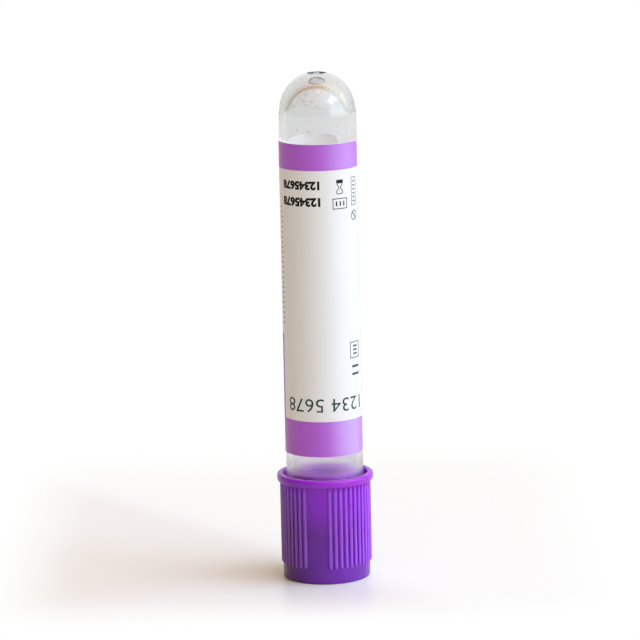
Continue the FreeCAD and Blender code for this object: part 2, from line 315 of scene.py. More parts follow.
outside = rounded([
    (PORT_RAD + PORT_CHAMFER, 0),
    (CAP_RAD, 0, 0.35), (CAP_RAD, BEAD_UNDER, 0.10),
    (BEAD_RAD, BEAD_UNDER, 0.45), (BEAD_RAD, CAP_HEIGHT, 0.42),
    (RIM_BORE, CAP_HEIGHT, 0.16), (SKIRT_BORE, CAP_HEIGHT - RIM_LEAD, 0.3),
    (SKIRT_BORE, SHELF[1], 0.2), (SHELF_BORE, SHELF[1]),
], steps=7)
rib_tip = RIB_HALF * (1 - np.cos(np.linspace(0, math.pi / 2, 8)))
rib_rows = np.concatenate([[RIB_END - 0.02], RIB_END + rib_tip])
wall_start = int(np.argmax((outside[:, 0] > CAP_RAD - 1e-6) & (outside[:, 1] > 0.3)))
outside = np.concatenate([
    outside[:wall_start + 1], np.stack([np.full(len(rib_rows), CAP_RAD), rib_rows], axis=1),
    np.stack([np.full(4, CAP_RAD), np.linspace(5, 14, 4)], axis=1), outside[wall_start + 1:],
])
inside = rounded([
    (SHELF_BORE, SHELF[1]), (SHELF_BORE, SHELF[0]),
    (HEAD_BORE, SHELF[0], 0.15), (HEAD_BORE, PORT_DEPTH, 0.15),
    (PORT_RAD, PORT_DEPTH, 0.1), (PORT_RAD, PORT_CHAMFER, 0.2), (PORT_RAD + PORT_CHAMFER, 0),
])

# Painted light in the plastic's colour: a painted glow lightens the skirt where it stands free of the
# stopper, painted shade darkens it low down, the bead has a painted glow, and the ribs' crests a painted
# highlight.
PAINTED_GLOW_LEVELS = (7.5 * MM, 14.5 * MM)
PAINTED_BEAD_GLOW_LEVELS = (15.6 * MM, 16.5 * MM)
CREST_RADS = (7.36 * MM, 7.59 * MM)
BEAD_RADS = (7.72 * MM, 7.80 * MM)
SHADED_LOW_PURPLE = (0.104, 0.0028, 0.240)
PAINTED_GLOW_PURPLE = (0.186, 0.0042, 0.405)
PAINTED_CREST_HIGHLIGHT_PURPLE = (0.175, 0.050, 0.350)
PAINTED_BEAD_GLOW_PURPLE = (0.200, 0.0075, 0.300)
cap_plastic, shader, where = new_material(
    "cap_plastic", (0.20, 0.012, 0.46), 0.30,
    Specular_IOR_Level=0.5, Subsurface_Weight=1.0, Subsurface_Scale=0.0050)
shader.inputs["Subsurface Radius"].default_value = (0.6, 0.25, 1.0)
height = where.part("Z")
from_axis = where.from_axis()
# A painted highlight on the ribs' crests.
painted_crest_highlight = from_axis.step(*CREST_RADS) * (1.0 - from_axis.step(*BEAD_RADS))
# The wall is painted darker low down as painted shade, and lighter higher up as a painted glow.
wall_colour = height.step(*PAINTED_GLOW_LEVELS).mix(SHADED_LOW_PURPLE, PAINTED_GLOW_PURPLE)
wall_colour = painted_crest_highlight.mix(wall_colour, PAINTED_CREST_HIGHLIGHT_PURPLE)
# A painted glow on the bead.
feed(shader, "Base Color", height.step(*PAINTED_BEAD_GLOW_LEVELS).mix(wall_colour, PAINTED_BEAD_GLOW_PURPLE))
grain = noise(where, 0.00018, 3.0)
feed(shader, "Roughness", 0.17 + 0.06 * grain)
bump(shader, where, 0.4 * grain + 1.5 * noise(where, 0.0015), 0.000006)
cap_mesh = grid_mesh("safety_cap_moulding", [ribbed(outside), ribbed(inside)])
safety_cap = piece("safety_cap_moulding", cap_mesh, cap_plastic)
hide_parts("safety_cap")
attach(safety_cap, "cap")

# ---------------------------------------------------------------------------------------------------
# Stopper: one moulding in soft rubber. Its plug seals the tube's bore and has a cup in its end, its
# flange carries the tube's mouth, and the needle pierces it between the cup and the well in its head.

HALL = 0.05
PLUG_RAD = 5.30
PLUG_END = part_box("stopper")[1].z / MM
CUP_RADS = (2.90, 2.30)
CUP_FLOOR = 12.80
FLANGE_RAD = 6.45
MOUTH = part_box("tube")[0].z / MM
WELL_RAD = 3.40
WELL_DEPTH = 1.60
COLUMNS = 256


def turned(profile):
    """A profile of (radius, height) carried once round the axis, as a grid."""
    angle = np.linspace(0, 2 * math.pi, COLUMNS, endpoint=False)[None, :]
    return round_the_axis(profile[:, :1], profile[:, 1:], angle)


head_low = PORT_DEPTH + HALL
bend = (WELL_RAD ** 2 + WELL_DEPTH ** 2) / (2 * WELL_DEPTH)
half_turn = math.degrees(math.asin(WELL_RAD / bend))
well = arc((0, head_low + WELL_DEPTH - bend), bend, 90, 90 - half_turn, 14)
FLANGE_END = MOUTH - 0.02
PLUG_SIDE = PLUG_RAD - 0.1
rubber_line = rounded([
    (WELL_RAD, head_low),
    (HEAD_BORE - HALL, head_low, 0.2), (HEAD_BORE - HALL, SHELF[0] - HALL, 0.2),
    (SHELF_BORE - HALL, SHELF[0] - HALL, 0.1), (SHELF_BORE - HALL, SHELF[1] + HALL, 0.1),
    (FLANGE_RAD, SHELF[1] + HALL, 0.4), (FLANGE_RAD, FLANGE_END, 0.4),
    (PLUG_SIDE, FLANGE_END, 0.15), (PLUG_SIDE, PLUG_END, 0.55),
    (CUP_RADS[0], PLUG_END, 0.5), (CUP_RADS[1], CUP_FLOOR, 0.6), (0, CUP_FLOOR),
], steps=9)
RUBBER_COLOURS = ((0.36, 0.004, 0.64), (0.41, 0.006, 0.72))
stopper_rubber, shader, where = new_material("stopper_rubber", (0.40, 0.08, 0.58), 0.55)
bloom = noise(where, 0.0011, 3.0)
feed(shader, "Base Color", bloom.mix(*RUBBER_COLOURS))
feed(shader, "Roughness", 0.48 + 0.16 * bloom)
bump(shader, where, noise(where, 0.0003, 3.0), 0.000010)
stopper_mesh = grid_mesh("rubber_stopper", [turned(np.concatenate([well, rubber_line]))])
stopper = piece("rubber_stopper", stopper_mesh, stopper_rubber)
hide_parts("stopper")
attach(stopper, "stopper")

# ---------------------------------------------------------------------------------------------------
# Tube: one injection moulding in clear PET with a round bottom. It was filled through a gate at the
# pole, which left a shallow recess with the cut-off stub in it, and the mould's halves meet in a small
# step where the dome begins. A brown reflection is painted on its bore, its open end is hazy with a
# painted lilac glow from the cap, and dark glints are painted at the gate's side.

POLE = MOUTH + 75.0
DOME_RAD = 6.30
SHOULDER_RAD = 6.42
SHANK_RAD = 6.46
MOUTH_RAD = 6.50
DOME_LEVEL = POLE - DOME_RAD
STEP_REACH = (-0.60, 0.30)
BORE_DOME_RAD = 5.15
BORE_MOUTH_RAD = 5.38
POLE_WALL = 2.0
BORE_DOME_LEVEL = POLE - POLE_WALL - BORE_DOME_RAD
GATE_RAD = 1.55
GATE_LIP = 0.16
GATE_DEPTH = 0.50
STUB_RAD = 0.50
STUB_RISE = 0.30
MOUTH_CHAMFER = 0.2
label_low, label_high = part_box("label")
LABEL_BOTTOM = label_low.z / MM
LABEL_TOP = label_high.z / MM

rim_turn = math.degrees(math.acos((GATE_RAD + GATE_LIP) / DOME_RAD))
step_share = np.linspace(0, 1, 13)
step_level = DOME_LEVEL + STEP_REACH[0] + (STEP_REACH[1] - STEP_REACH[0]) * step_share
step_dome = np.sqrt(DOME_RAD ** 2 - np.clip(step_level - DOME_LEVEL, 0, None) ** 2)
step_line = np.stack([
    SHOULDER_RAD + (step_dome - SHOULDER_RAD) * (3 * step_share ** 2 - 2 * step_share ** 3),
    step_level,
], axis=1)
gate_rim = DOME_LEVEL + math.sqrt(DOME_RAD ** 2 - GATE_RAD ** 2)
gate_floor = POLE - GATE_DEPTH
gate = rounded([
    (GATE_RAD + GATE_LIP, DOME_LEVEL + DOME_RAD * math.sin(math.radians(rim_turn))),
    (GATE_RAD, gate_rim, 0.07),
    (GATE_RAD - 0.04, gate_floor, 0.12), (STUB_RAD + 0.04, gate_floor, 0.08),
    (STUB_RAD, gate_floor + STUB_RISE, 0.08), (0, gate_floor + STUB_RISE),
])
step_turn = math.degrees(math.asin(STEP_REACH[1] / DOME_RAD))
tube_outside = np.concatenate([
    rounded([(BORE_MOUTH_RAD + MOUTH_CHAMFER, MOUTH), (MOUTH_RAD, MOUTH, 0.3), (SHANK_RAD, LABEL_BOTTOM)]),
    [(SHANK_RAD, LABEL_TOP)],
    step_line,
    arc((0, DOME_LEVEL), DOME_RAD, step_turn, rim_turn, 60)[1:],
    gate[1:],
])
tube_inside = np.concatenate([
    arc((0, BORE_DOME_LEVEL), BORE_DOME_RAD, 90, 0, 64),
    [(BORE_MOUTH_RAD, MOUTH + MOUTH_CHAMFER), (BORE_MOUTH_RAD + MOUTH_CHAMFER, MOUTH)],
])

# The painted brown reflection is part of a ring on the bore's dome, at an angle from a direction near -Y.
# It starts above a level and fades towards the right.
HAZE_LEVELS = (19.0 * MM, 22.5 * MM)
HAZE_ROUGHNESS = 0.28
CLEAR_ROUGHNESS = 0.015
ROUGHER_IN_GATE = 0.30
GATE_FLOOR_LEVELS = ((gate_floor - 0.08) * MM, (gate_floor - 0.02) * MM)
GATE_RIM_RADS = ((GATE_RAD - 0.02) * MM, (GATE_RAD + 0.08) * MM)
GATE_GLINT_RADS = ((GATE_RAD - 0.22) * MM, (GATE_RAD - 0.10) * MM)
REFLECTION_ARC_TURN = math.radians(-4)
REFLECTION_ARC_ANGLES = (math.radians(52), math.radians(58), math.radians(62), math.radians(66))
REFLECTION_ARC_LEVELS = (79.4 * MM, 80.8 * MM)
REFLECTION_ARC_DEPTHS = (5.3 * MM, 5.6 * MM)
REFLECTION_ARC_FADE = (0.5 * MM, 2.6 * MM)
CLEAR_TINT = (0.885, 0.89, 0.895)
HAZE_AND_PAINTED_CAP_GLOW_TINT = (0.875, 0.84, 0.89)
PAINTED_REFLECTION_TINT = (0.50, 0.27, 0.08)
GATE_FROST_AND_PAINTED_GREY_TINT = (0.72, 0.78, 0.82)
PAINTED_GATE_GLINT_TINT = (0.02, 0.035, 0.06)
clear_plastic, shader, where = new_material(
    "clear_plastic", CLEAR_TINT, CLEAR_ROUGHNESS, IOR=1.57, Transmission_Weight=0.97)
height = where.part("Z")
from_axis = where.from_axis()
in_gate = height.step(*GATE_FLOOR_LEVELS) * (1.0 - from_axis.step(*GATE_RIM_RADS))
# Where the dark glints are painted round the gate's side.
painted_gate_glint = in_gate * from_axis.step(*GATE_GLINT_RADS)
free_of_haze = height.step(*HAZE_LEVELS)
smoother = (HAZE_ROUGHNESS - CLEAR_ROUGHNESS) * free_of_haze
feed(shader, "Roughness", HAZE_ROUGHNESS - smoother + ROUGHER_IN_GATE * in_gate)

from_bore = where.vector("SUBTRACT", (0.0, 0.0, BORE_DOME_LEVEL * MM))
away_from_bore = from_bore.vector("LENGTH", output="Value")
along = from_bore.vector("DOT_PRODUCT", (math.sin(REFLECTION_ARC_TURN), -math.cos(REFLECTION_ARC_TURN), 0.0), "Value")
cosine = along / away_from_bore + 0.03 * (noise(where, 0.0008) - 0.5)
inner_side, inner_full, outer_full, outer_side = (math.cos(each) for each in REFLECTION_ARC_ANGLES)
painted_reflection = cosine.step(outer_side, outer_full) * (1.0 - cosine.step(inner_full, inner_side))
painted_reflection = painted_reflection * (1.0 - away_from_bore.step(*REFLECTION_ARC_DEPTHS)) * height.step(*REFLECTION_ARC_LEVELS)
painted_reflection = painted_reflection * (1.0 - 0.8 * where.part("X").step(*REFLECTION_ARC_FADE))
# A painted brown reflection on the bore.
tint = painted_reflection.mix(CLEAR_TINT, PAINTED_REFLECTION_TINT)
# Near the mouth the haze is tinted lilac, a painted glow of the cap's purple.
tint = free_of_haze.mix(HAZE_AND_PAINTED_CAP_GLOW_TINT, tint)
# The gate's rough cut, tinted bluish grey as a painted reflection.
tint = in_gate.mix(tint, GATE_FROST_AND_PAINTED_GREY_TINT)
# Painted dark glints round the gate's side.
feed(shader, "Base Color", painted_gate_glint.mix(tint, PAINTED_GATE_GLINT_TINT))
rough_cut = in_gate * noise(where, 0.0005, 3.0)
bump(shader, where, noise(where, 0.004, 1.0) * 0.1 + rough_cut * 4.0, 0.00002, 0.5)


def swap_shader(material, where, share, other):
    """Mix another shader node into the material in place of its own, by a share from 0 to 1."""
    links = material.node_tree.links
    blend = where.node("MixShader", {0: share})
    links.new(material.node_tree.nodes["Principled BSDF"].outputs[0], blend.inputs[1])
    links.new(other.outputs[0], blend.inputs[2])
    links.new(blend.outputs[0], material.node_tree.nodes["Material Output"].inputs["Surface"])


# Light goes straight through the walls on its way to what is inside them, and a little of it is lost.
LET_THROUGH = (0.97, 0.97, 0.97, 1.0)
light_path = where.node("LightPath")
lets_light = where.wrap(light_path, "Is Shadow Ray").at_least(where.wrap(light_path, "Is Diffuse Ray"))
let_through = where.node("BsdfTransparent", {"Color": LET_THROUGH})
swap_shader(clear_plastic, where, lets_light, let_through)
tube_mesh = grid_mesh("clear_tube", [turned(tube_outside), turned(tube_inside)], sharp=40.0)
tube = piece("clear_tube", tube_mesh, clear_plastic)
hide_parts("tube")
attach(tube, "tube")

# ---------------------------------------------------------------------------------------------------
# Additive: the anticoagulant that was sprayed into the tube, dried to small, partly milky beads on its
# inner wall. The largest are placed one by one, and a fine spray of specks lies between them.

DROPS = [
    # angle from -Y towards +X in degrees, height, radius
    (-26, 82.2, 0.34), (4, 82.5, 0.42), (-13, 82.7, 0.20), (-11, 81.2, 0.26), (19, 81.1, 0.28),
    (0, 81.1, 0.16), (37, 82.5, 0.22), (-41, 81.1, 0.15), (-45, 80.4, 0.14), (-29, 81.3, 0.13),
    (-22, 80.7, 0.15), (-16, 80.8, 0.13), (-1, 80.5, 0.17), (-38, 76.7, 0.17), (-17, 76.4, 0.18),
    (34, 77.2, 0.18), (39, 75.8, 0.16), (10, 81.6, 0.12), (48, 82.1, 0.17), (-35, 81.5, 0.12),
    (170, 82.9, 0.20),
    (105, 80.9, 0.26), (-150, 81.2, 0.28), (150, 82.0, 0.18), (175, 79.6, 0.15), (-110, 79.0, 0.17),
    (-165, 76.6, 0.14), (125, 77.2, 0.12), (64, 79.0, 0.13), (-64, 78.2, 0.12), (80, 76.8, 0.13),
    (-130, 77.6, 0.10), (-95, 75.9, 0.12),
]
SPECKS = 170
SPECK_RADS = (0.045, 0.085)
BEAD_CONTACT = math.radians(78)
BEAD_LIFT = 0.015


def bore_radius(level):
    """Radius of the bore: the dome's circle above its own level, and a straight draft below it."""
    rise = np.clip(level - BORE_DOME_LEVEL, 0, None)
    share = (level - MOUTH) / (BORE_DOME_LEVEL - MOUTH)
    draft = BORE_MOUTH_RAD + (BORE_DOME_RAD - BORE_MOUTH_RAD) * np.clip(share, 0, 1)
    return np.where(rise > 0, np.sqrt(BORE_DOME_RAD ** 2 - rise ** 2), draft)


def bead_grids(drops, rows, columns):
    """Beads on the bore's wall, as grids.

    A bead's foot is on the wall. From there each point goes inward by a small lift plus the radius times
    (the angle's cosine less the contact angle's), and sideways by the radius times its sine. The angle runs
    from 0 at the crown to the contact angle at the wall, and a flat foot closes the bead.
    """
    turn = np.radians(drops[:, 0])
    level = drops[:, 1]
    wall = bore_radius(level)
    foot = round_the_axis(wall, level, turn)
    rise = np.clip(level - BORE_DOME_LEVEL, 0, None)
    inward = -round_the_axis(wall, rise, turn)
    inward /= np.linalg.norm(inward, axis=1, keepdims=True)
    side = np.stack([np.cos(turn), np.sin(turn), np.zeros_like(turn)], axis=1)
    up = np.cross(inward, side)
    tip = np.linspace(0, BEAD_CONTACT, rows)
    out = np.append(np.cos(tip), math.cos(BEAD_CONTACT)) - math.cos(BEAD_CONTACT)
    aside = np.append(np.sin(tip), 0.0)
    out, aside = (each[None, :, None, None] for each in (out, aside))
    spin = np.linspace(0, 2 * math.pi, columns, endpoint=False)[None, None, :, None]
    inward, side, up, foot = (each[:, None, None, :] for each in (inward, side, up, foot))
    size = drops[:, 2][:, None, None, None]
    round_foot = np.cos(spin) * side + np.sin(spin) * up
    return foot + (BEAD_LIFT + out * size) * inward + aside * size * round_foot


additive_drops, shader, where = new_material(
    "additive_drops", (0.97, 0.97, 0.96), 0.03, IOR=1.45, Transmission_Weight=0.45)
bump(shader, where, noise(where, 0.0002), 0.000004)
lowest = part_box("additive")[0].z / MM
chance = np.random.default_rng(7)
specks = np.stack([
    chance.uniform(-180, 180, SPECKS), chance.uniform(lowest + 0.1, BORE_DOME_LEVEL + 3.0, SPECKS),
    chance.uniform(*SPECK_RADS, SPECKS),
], axis=1)
beads = [*bead_grids(np.array(DROPS), 10, 20), *bead_grids(specks, 5, 10)]
additive = piece("dried_additive", grid_mesh("dried_additive", beads, sharp=60.0), additive_drops)
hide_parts("additive")
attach(additive, "tube")

# ---------------------------------------------------------------------------------------------------
# Label: satin plastic film, white right through, wrapped round the shank and stuck down. A strip of the
# tube stays open between its two ends, so that the fill can be seen. Its corners are rounded. Its inner
# side is painted lighter and given a faint painted glow, for the light that comes through the film.

FILM_RAD = 6.56
FILM_THICK = 0.12
WINDOW_MIDDLE = math.radians(109.0)
WINDOW_HALF = 3.40
LABEL_CORNER = 1.20


def label_ends(height, inset=0.0):
    """Angles of the label's two ends at a height, which draw back along a circle at the corners."""
    from_edge = np.minimum(height - LABEL_BOTTOM, LABEL_TOP - height) - inset
    short = np.clip(LABEL_CORNER - from_edge, 0, LABEL_CORNER)
    half = WINDOW_HALF + inset + LABEL_CORNER - np.sqrt(LABEL_CORNER ** 2 - short ** 2)
    reach = np.arcsin(half / FILM_RAD)
    return WINDOW_MIDDLE + reach - 2 * math.pi, WINDOW_MIDDLE - reach


def corner_rows(low, high):
    """Heights from low to high, close together where the corners are round."""
    ease = LABEL_CORNER * (1 - np.cos(np.linspace(0, math.pi / 2, 9)))
    straight = np.linspace(LABEL_BOTTOM + LABEL_CORNER, LABEL_TOP - LABEL_CORNER, 24)
    rows = np.concatenate([LABEL_BOTTOM + ease, straight, LABEL_TOP - ease[::-1], [low, high]])
    return np.unique(np.round(rows[(rows >= low) & (rows <= high)], 6))


def film_patch(low, high, radius, start=None, end=None, columns=220, inset=0.0):
    """Part of the label's surface between two heights, and between two angles or the label's ends."""
    rows = corner_rows(low, high)
    first, last = label_ends(np.clip(rows, LABEL_BOTTOM + inset, LABEL_TOP - inset), inset)
    if start is not None:
        first = np.full_like(rows, start)
    if end is not None:
        last = np.full_like(rows, end)
    share = np.linspace(0, 1, columns)
    return round_the_axis(radius, rows[:, None], first[:, None] + (last - first)[:, None] * share)


def shell_mesh(name, outer, inner):
    """A closed thin sheet between two grids of the same size: both faces and the four edges."""
    edges = []
    for cut in (np.s_[:1], np.s_[-1:]):
        edges.append(np.concatenate([outer[cut], inner[cut]], axis=0))
        edges.append(np.concatenate([outer[:, cut], inner[:, cut]], axis=1))
    return grid_mesh(name, [outer, inner, *edges], ring=False, sharp=50.0)


film_outside = film_patch(LABEL_BOTTOM, LABEL_TOP, FILM_RAD)
film_inside = film_patch(LABEL_BOTTOM, LABEL_TOP, FILM_RAD - FILM_THICK)
FACE_COLOURS = ((0.85, 0.848, 0.84), (0.87, 0.868, 0.86))
PAINTED_LIGHT_BACK_COLOUR = (0.95, 0.95, 0.945)
PAINTED_BACK_GLOW = (0.068, 0.064, 0.064)
label_film, shader, where = new_material(
    "label_film", (0.86, 0.858, 0.85), 0.38, Coat_Weight=0.4, Coat_Roughness=0.42, Emission_Strength=1.0)
outer_face = where.from_axis().step((FILM_RAD - FILM_THICK) * MM, FILM_RAD * MM)
face_colour = noise(where, 0.0025, 3.0).mix(*FACE_COLOURS)
# The inner side is painted lighter, as painted light.
feed(shader, "Base Color", outer_face.mix(PAINTED_LIGHT_BACK_COLOUR, face_colour))
# A faint painted glow on the inner side, though it is no lamp.
feed(shader, "Emission Color", outer_face.mix(PAINTED_BACK_GLOW, (0.0, 0.0, 0.0)))


def wavy(shader, where):
    """The slight waves of a film that is stuck down."""
    bump(shader, where, noise(where, 0.0009, 3.0), 0.000006)


def satin(shader, where, roughness):
    """The wavy film's satin varnish, which is a little rougher in places."""
    feed(shader, "Roughness", roughness + 0.10 * noise(where, 0.0006, 2.0))
    wavy(shader, where)


satin(shader, where, 0.38)
label = piece("label_sleeve", shell_mesh("label_sleeve", film_outside, film_inside), label_film)
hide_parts("label")
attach(label, "tube")

# ---------------------------------------------------------------------------------------------------
# Purple print on the label: a band at each end, and a field that goes round the back. It is flexographic
# ink under the film's satin varnish, a hundredth of a millimetre proud here.

INK_RAD = FILM_RAD + 0.012
INK_THICK = 0.018
BAND_TOP = 70.06
BAND_BOTTOM = 27.71
FIELD_TOP = 42.0
FIELD_ENDS = (math.radians(-168), math.radians(-75))
TRIM = 0.02


def ink_sheet(low, high, **where_round):
    """The outer and inner face of a printed area."""
    faces = (INK_RAD, INK_RAD - INK_THICK)
    return [film_patch(low, high, radius, inset=TRIM, **where_round) for radius in faces]


purple_areas = [
    ink_sheet(BAND_TOP, LABEL_TOP - TRIM),
    ink_sheet(LABEL_BOTTOM + TRIM, BAND_BOTTOM),
    ink_sheet(BAND_BOTTOM + 0.001, FIELD_TOP, start=FIELD_ENDS[0], end=FIELD_ENDS[1], columns=60),
]


def joined(name, meshes):
    """Several meshes as one, and the parts removed."""
    whole = bmesh.new()
    for part in meshes:
        whole.from_mesh(part)
        bpy.data.meshes.remove(part)
    mesh = bpy.data.meshes.new(name)
    whole.to_mesh(mesh)
    whole.free()
    return mesh


INK_COLOURS = ((0.44, 0.085, 0.66), (0.49, 0.100, 0.74))
purple_ink, shader, where = new_material(
    "purple_ink", (0.48, 0.085, 0.72), 0.40, Coat_Weight=0.6, Coat_Roughness=0.50)
feed(shader, "Base Color", noise(where, 0.00035, 2.0).mix(*INK_COLOURS))
satin(shader, where, 0.40)
purple_mesh = joined("purple_print", [shell_mesh("area", *area) for area in purple_areas])
purple_print = piece("purple_print", purple_mesh, purple_ink)
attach(purple_print, "tube")

# ---------------------------------------------------------------------------------------------------
# Black and dark green print on the label: plain numbers in rows, boxes with short bars in them, an
# hourglass, a crossed ring and a column of ticks. The tube's right way up is on its round end, so all
# of it stands on its head here. It is printed as the purple is.


def spaced(line, longest):
    """The polyline with points added on its runs, so that no run is longer than a given length."""
    pieces = []
    for start, end in zip(line[:-1], line[1:]):
        count = max(1, math.ceil(np.linalg.norm(end - start) / longest))
        pieces.append(start + (end - start) * np.linspace(0, 1, count, endpoint=False)[:, None])
    return np.concatenate([*pieces, line[-1:]])


def on_label(across, level, rise):
    """A place on the ink's surface plus a rise. Its angle is the way across over the film's radius."""
    return round_the_axis(INK_RAD + rise, level, across / FILM_RAD)


def drawn_line(points, width, closed=False):
    """A printed line. Each point gives two, half the width away from it along its corner's mitre."""
    line = np.array([*points, points[0]] if closed else points, float)
    line = spaced(line, 0.25)
    step = np.diff(line, axis=0)
    normal = np.stack([-step[:, 1], step[:, 0]], axis=1) / np.linalg.norm(step, axis=1)[:, None]
    before = np.concatenate([normal[-1:] if closed else normal[:1], normal])
    after = np.concatenate([normal, normal[:1] if closed else normal[-1:]])
    mitre = (before + after) / (1 + np.sum(before * after, axis=1))[:, None]
    if closed:
        line, mitre = line[:-1], mitre[:-1]
    sides = [line + mitre * width / 2, line - mitre * width / 2]
    left, right = ([on_label(side[:, 0], side[:, 1], rise) for rise in (0.0, -INK_THICK)] for side in sides)
    grids = [np.stack([left[0], right[0], right[1], left[1], left[0]])]
    if not closed:
        for end in (0, -1):
            grids.append(np.stack([np.stack([left[face][end], right[face][end]]) for face in (0, 1)]))
    return grid_mesh("line", grids, ring=closed, sharp=30.0)


def drawn_box(left, right, low, high, width):
    """A printed rectangle's outline."""
    return drawn_line([(left, low), (right, low), (right, high), (left, high)], width, closed=True)


def numerals(words, start, end, low, high, weight):
    """Plain numbers that read from start towards end, upside down between two heights.

    The built-in font's flat sheet is cut into upright strips, its box is fitted to the one given, and
    it is laid on the label.
    """
    curve = bpy.data.curves.new("numerals", "FONT")
    curve.body = words
    curve.extrude = 0.5
    curve.offset = weight
    curve.resolution_u = 3
    thing = bpy.data.objects.new("numerals", curve)
    bpy.context.scene.collection.objects.link(thing)
    depsgraph = bpy.context.evaluated_depsgraph_get()
    mesh = bpy.data.meshes.new_from_object(thing.evaluated_get(depsgraph))
    bpy.data.objects.remove(thing)
    bpy.data.curves.remove(curve)
    cut = bmesh.new()
    cut.from_mesh(mesh)
    reach = [min(v.co.x for v in cut.verts), max(v.co.x for v in cut.verts)]
    for place in np.linspace(*reach, int(abs(end - start) / 0.3))[1:-1]:
        everything = cut.verts[:] + cut.edges[:] + cut.faces[:]
        bmesh.ops.bisect_plane(cut, geom=everything, plane_co=(place, 0, 0), plane_no=(1, 0, 0))
    bmesh.ops.remove_doubles(cut, verts=cut.verts, dist=1e-5)
    bmesh.ops.recalc_face_normals(cut, faces=cut.faces)
    cut.to_mesh(mesh)
    cut.free()
    flat = np.empty(len(mesh.vertices) * 3)
    mesh.vertices.foreach_get("co", flat)
    flat = flat.reshape(-1, 3)
    share = (flat - flat.min(axis=0)) / np.ptp(flat, axis=0)
    across = start + (end - start) * share[:, 0]
    level = high + (low - high) * share[:, 1]
    place = on_label(across, level, (share[:, 2] - 1) * INK_THICK) * MM
    mesh.vertices.foreach_set("co", place.ravel())
    mesh.materials.clear()
    return mesh


def ink(name, colour):
    """A thin ink, up to half as light again where less of it lies."""
    material, shader, where = new_material(name, colour, 0.50, Specular_IOR_Level=0.25)
    patchy = noise(where, 0.0002, 2.0)
    feed(shader, "Base Color", patchy.mix(colour, tuple(value * 1.5 for value in colour)))
    wavy(shader, where)
    return material


LINE = 0.13
black_parts = [
    numerals("12345678", 0.08, -7.15, 66.82, 68.36, 0.055),
    numerals("12345678", 0.18, -7.22, 64.02, 65.62, 0.055),
    drawn_line([(2.98, 68.12), (4.24, 68.12)], 0.60),
    drawn_line([(3.14, 67.82), (3.14, 67.62), (3.45, 67.15), (3.45, 67.00), (3.02, 66.50), (3.06, 66.16),
                (3.24, 66.06), (3.98, 66.06), (4.16, 66.16), (4.20, 66.50), (3.77, 67.00), (3.77, 67.15),
                (4.08, 67.62), (4.08, 67.82)], LINE),
    drawn_box(2.32, 5.00, 63.58, 65.26, LINE),
    *[drawn_line([(across, 64.02), (across, 64.82)], 0.24) for across in (2.95, 3.66, 4.37)],
]
green_parts = [
    drawn_box(6.26, 7.58, 63.82, 68.46, 0.10),
    *[drawn_line([(6.62, level), (7.22, level)], 0.20) for level in np.linspace(64.5, 67.8, 6)],
    drawn_line(arc((6.92, 62.10), 0.78, 0, 345, 24), LINE, closed=True),
    drawn_line([(6.45, 62.65), (7.40, 61.55)], 0.2),
    drawn_box(5.22, 7.60, 38.12, 40.76, LINE),
    *[drawn_line([(5.90, level), (6.95, level)], 0.26) for level in (38.80, 39.45, 40.10)],
    *[drawn_line([(5.55, level), (7.45, level)], 0.36) for level in (35.35, 36.65)],
    numerals("1234 5678", 7.65, -6.75, 29.33, 31.62, -0.004),
    *[drawn_line([(-8.36, level), (-8.02, level)], 0.28) for level in np.arange(44.0, 64.0, 0.85)],
]
black_ink = ink("black_ink", (0.005, 0.0045, 0.005))
black_print = piece("black_print", joined("black_print", black_parts), black_ink)
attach(black_print, "tube")
green_ink = ink("green_ink", (0.008, 0.040, 0.036))
green_print = piece("green_print", joined("green_print", green_parts), green_ink)
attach(green_print, "tube")

# ---------------------------------------------------------------------------------------------------
# Floor, light and camera: a sheet of white paper by a window, in a room that is dim and warm on the
# other side. The paper turns to plain white away from the tube, and in part, as a painted pool of light,
# on the side towards the window.

FLOOR_HALF = 2.5
ASIDE_REACH = (0.036, 0.054)
ASIDE_MIDDLE = -0.004
BEYOND_REACH = (0.024, 0.046)
BEYOND_MIDDLE = 0.012
PAINTED_LIGHT_REACH = (-0.004, 0.016)
PAINTED_LIGHT_SLOPE = 1.4
PAINTED_LIGHT_SHARE = 0.6
floor_mesh = bpy.data.meshes.new("paper_floor")
corners = [(x * FLOOR_HALF, y * FLOOR_HALF, 0.0) for x, y in ((-1, -1), (1, -1), (1, 1), (-1, 1))]
floor_mesh.from_pydata(corners, [], [(0, 1, 2, 3)])
paper, shader, where = new_material("paper_floor", (0.84, 0.84, 0.84), 0.36, IOR=1.45)
over, back = where.part("X"), where.part("Y")
aside = abs(over - ASIDE_MIDDLE).step(*ASIDE_REACH)
# Behind the tube the paper reaches twice as far as in front of it.
beyond = back - BEYOND_MIDDLE
is_behind = back.math("GREATER_THAN", back, BEYOND_MIDDLE)
beyond = abs(beyond * (is_behind * 1.5 - 1.0)).step(*BEYOND_REACH)
# Painted light: a pool of white on the window's side of a slanting line.
painted_light = PAINTED_LIGHT_SHARE * (PAINTED_LIGHT_SLOPE * over + back).step(*PAINTED_LIGHT_REACH)
# The white backdrop away from the tube, together with the painted pool of light.
away = 1.0 - (1.0 - aside) * (1.0 - beyond) * (1.0 - painted_light)
light_path = where.node("LightPath")
through = where.wrap(light_path, "Is Transmission Ray")
seen = through.at_least(where.wrap(light_path, "Is Camera Ray"))
white = where.node("Emission", {"Color": (1, 1, 1, 1), "Strength": 1.0 - 0.12 * through})
swap_shader(paper, where, away * seen, white)
floor = piece("paper_floor", floor_mesh, paper)

